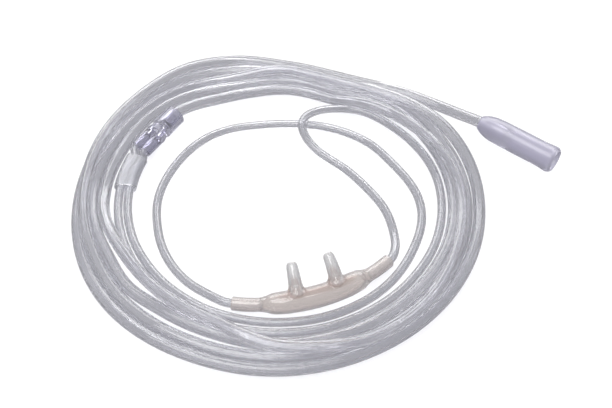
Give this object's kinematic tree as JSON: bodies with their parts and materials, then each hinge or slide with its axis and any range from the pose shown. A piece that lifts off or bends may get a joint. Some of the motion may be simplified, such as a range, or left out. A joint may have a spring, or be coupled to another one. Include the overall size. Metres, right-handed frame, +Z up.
{
  "type": "nasal oxygen cannula",
  "caption": "Coiled clear vinyl oxygen tubing with a bowed prong piece, looped headset tubes, slide sleeve, yoke and a socket connector.",
  "frame": {"origin": "under the middle of the fittings' box (prong piece, yoke, slide sleeve and connector), on the surface that the cannula lies on", "axes": "+X out of the oxygen connector's mouth, +Z up from the surface"},
  "size_m": [0.178, 0.1834, 0.017],
  "materials": {
    "soft_vinyl": "satin translucent",
    "clear_tube": "gloss clear",
    "frosted_sleeve": "satin clear",
    "clear_yoke": "gloss clear",
    "lavender_vinyl": "satin translucent"
  },
  "bodies": {
    "cannula": {"nasal_prong_piece": "soft_vinyl", "headset_tube_left": "clear_tube", "headset_tube_right": "clear_tube", "yoke": "clear_yoke", "supply_lead": "clear_tube", "supply_coil": "clear_tube", "supply_tail": "clear_tube", "oxygen_connector": "lavender_vinyl"},
    "slide": {"slide_sleeve": "frosted_sleeve"}
  },
  "joints": [
    {"name": "slide_run", "type": "hinge", "parent": "cannula", "child": "slide", "pos_m": [-0.00779, -0.01854, 0], "axis": [0, 0, 1], "range_deg": [0, 28]}
  ]
}
